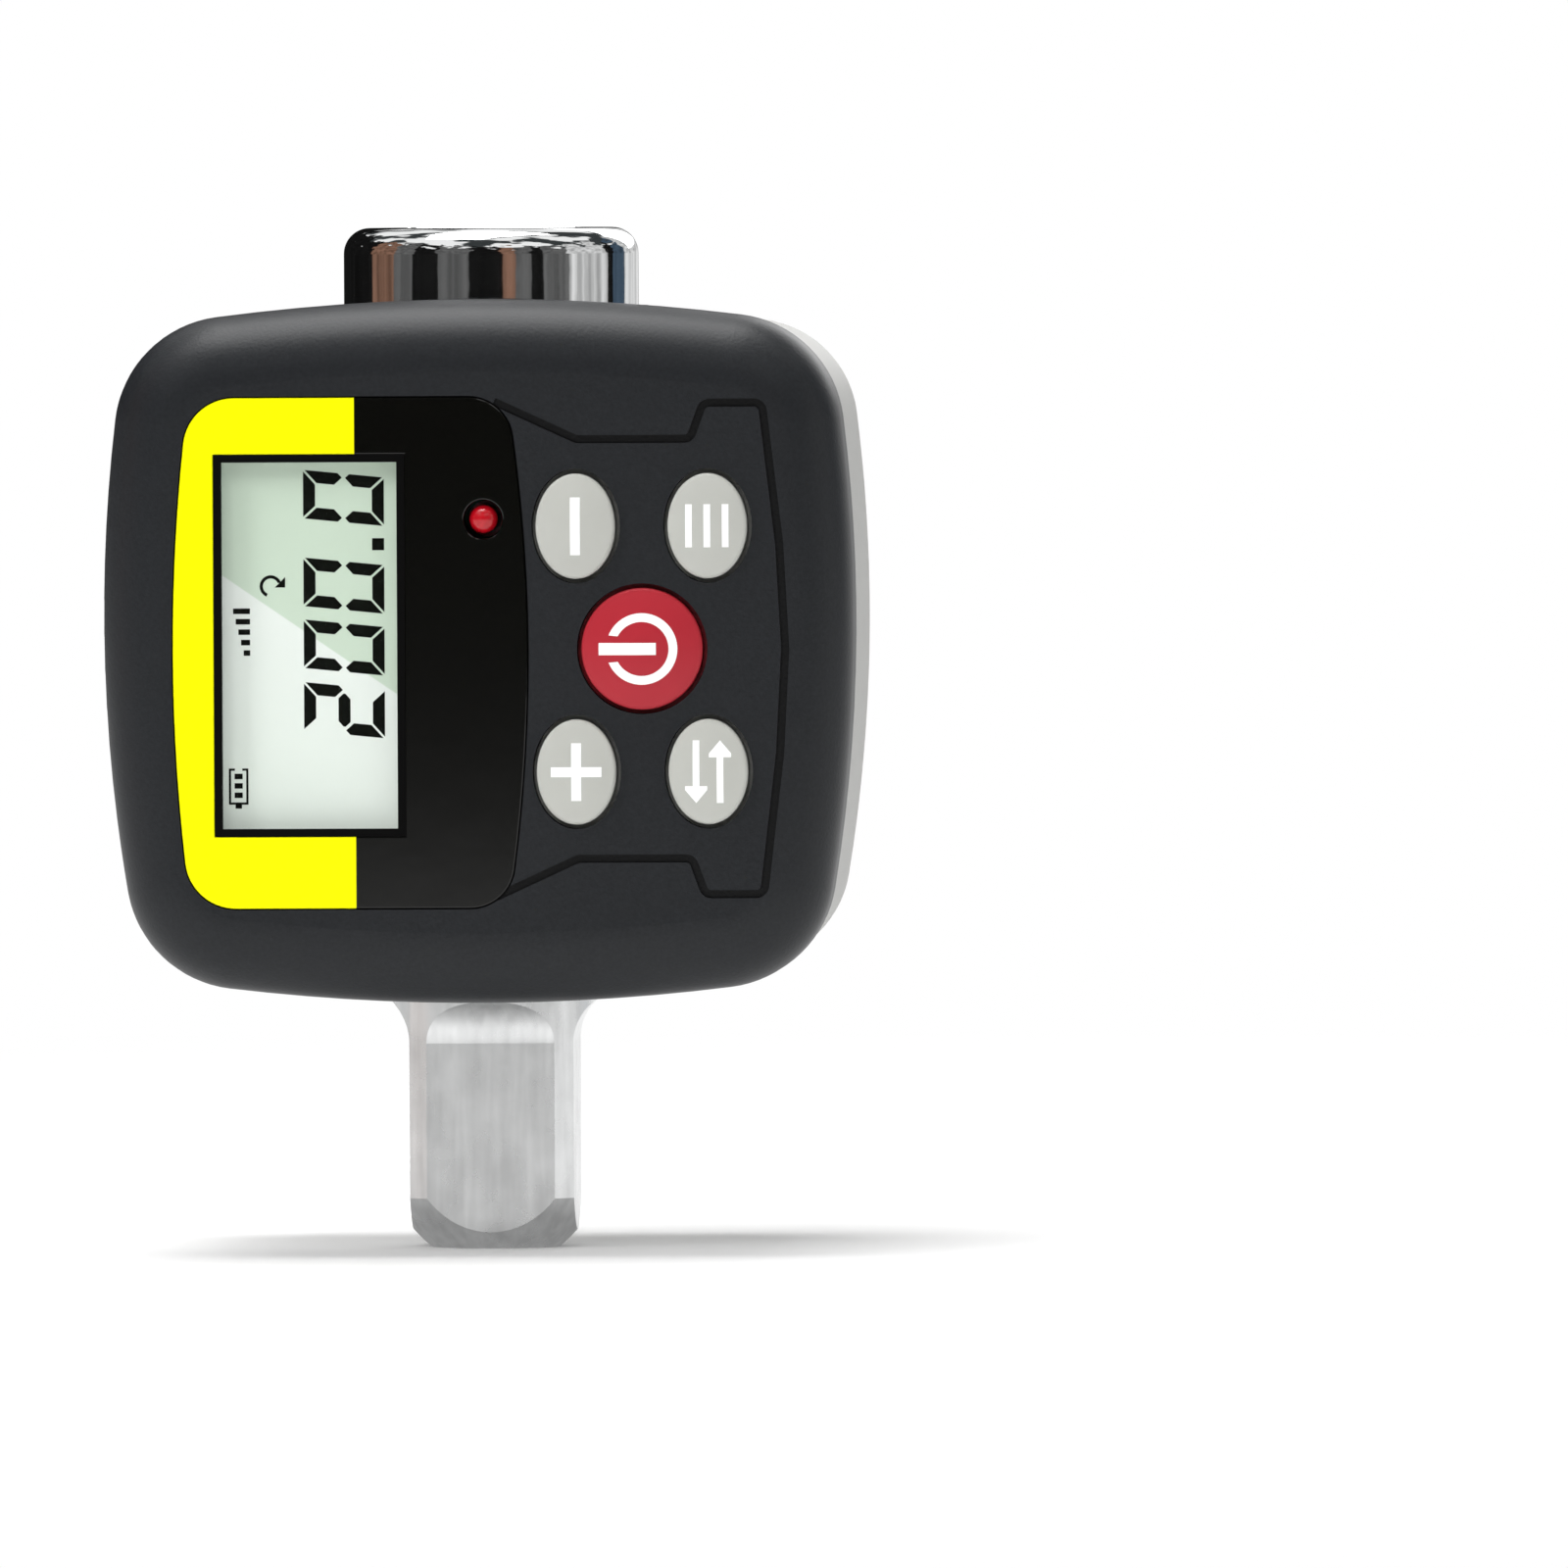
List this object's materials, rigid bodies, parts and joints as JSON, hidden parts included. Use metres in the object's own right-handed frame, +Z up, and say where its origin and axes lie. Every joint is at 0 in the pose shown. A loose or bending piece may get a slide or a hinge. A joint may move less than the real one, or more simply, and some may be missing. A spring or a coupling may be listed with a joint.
{
  "type": "digital torque adapter",
  "caption": "Digital torque adapter: plastic display case on a steel shaft with a female square at the top and a male square at the foot.",
  "frame": {"origin": "middle of the male square's end face", "axes": "+Z up the drive axis to the female square, -Y towards the display, +X to the right of the display"},
  "size_m": [0.0576, 0.0506, 0.0789],
  "materials": {
    "chromed_steel": "polished chrome on the boss, satin on the drive end",
    "black_acetal": "satin",
    "spring_steel": "bright",
    "black_steel": "black oxide",
    "gauge_foil": "amber film",
    "bearing_steel": "polished",
    "charcoal_plastic": "satin moulded",
    "grey_plastic": "fine moulded texture",
    "black_rubber": "matte",
    "printed_acrylic": "gloss black with a yellow border printed on its left part",
    "clear_acrylic": "clear",
    "display_glass": "grey-green reflective display",
    "white_plastic": "moulded",
    "green_laminate": "solder mask",
    "chip_plastic": "matte",
    "zinc_steel": "zinc plated",
    "red_lamp": "clear red",
    "grey_rubber": "matte",
    "cell_jacket": "plain printed jacket",
    "nickel_contact": "nickel plated",
    "wire_cover": "soft",
    "pale_plastic": "satin moulded",
    "red_plastic": "satin moulded"
  },
  "bodies": {
    "case": {"alarm_led": "red_lamp", "battery_leads": "wire_cover", "battery_lower": "cell_jacket", "battery_springs": "nickel_contact", "battery_upper": "cell_jacket", "board_chips": "chip_plastic", "board_screws": "zinc_steel", "buzzer": "chip_plastic", "case_screws": "zinc_steel", "case_seal": "black_rubber", "circuit_board": "green_laminate", "contact_bridge": "nickel_contact", "contact_negative": "nickel_contact", "contact_positive": "nickel_contact", "contact_strips": "black_rubber", "detent_spring": "spring_steel", "display_bezel": "printed_acrylic", "display_window": "clear_acrylic", "front_cover": "charcoal_plastic", "keypad_membrane": "grey_rubber", "lcd_glass": "display_glass", "lcd_holder": "white_plastic", "lower_bush": "black_acetal", "rear_case": "grey_plastic", "retaining_clip": "spring_steel", "sensor_lead": "gauge_foil", "shaft_set_screw": "black_steel", "strain_gauges": "gauge_foil", "torque_shaft": "chromed_steel", "upper_bush": "black_acetal", "window_frame": "black_acetal"},
    "minus_key": {"button_minus": "pale_plastic"},
    "plus_key": {"button_plus": "pale_plastic"},
    "mode_key": {"button_mode": "pale_plastic"},
    "unit_key": {"button_unit": "pale_plastic"},
    "power_key": {"button_power": "red_plastic"},
    "door": {"battery_door": "grey_plastic"},
    "ball": {"detent_ball": "bearing_steel"}
  },
  "joints": [
    {"name": "minus_press", "type": "slide", "parent": "case", "child": "minus_key", "axis": [0, 1, 0], "range_m": [0, 0.0008], "stiffness_N_per_m": 2500},
    {"name": "plus_press", "type": "slide", "parent": "case", "child": "plus_key", "axis": [0, 1, 0], "range_m": [0, 0.0008], "stiffness_N_per_m": 2500},
    {"name": "mode_press", "type": "slide", "parent": "case", "child": "mode_key", "axis": [0, 1, 0], "range_m": [0, 0.0008], "stiffness_N_per_m": 2500},
    {"name": "unit_press", "type": "slide", "parent": "case", "child": "unit_key", "axis": [0, 1, 0], "range_m": [0, 0.0008], "stiffness_N_per_m": 2500},
    {"name": "power_press", "type": "slide", "parent": "case", "child": "power_key", "axis": [0, 1, 0], "range_m": [0, 0.0008], "stiffness_N_per_m": 2500},
    {"name": "door_hinge", "type": "hinge", "parent": "case", "child": "door", "pos_m": [0, 0.025, 0.05825], "axis": [1, 0, 0], "range_deg": [0, 85]},
    {"name": "ball_slide", "type": "slide", "parent": "case", "child": "ball", "axis": [0, -1, 0], "range_m": [0, 0.00085], "stiffness_N_per_m": 3000, "deforming": ["detent_spring"]}
  ]
}
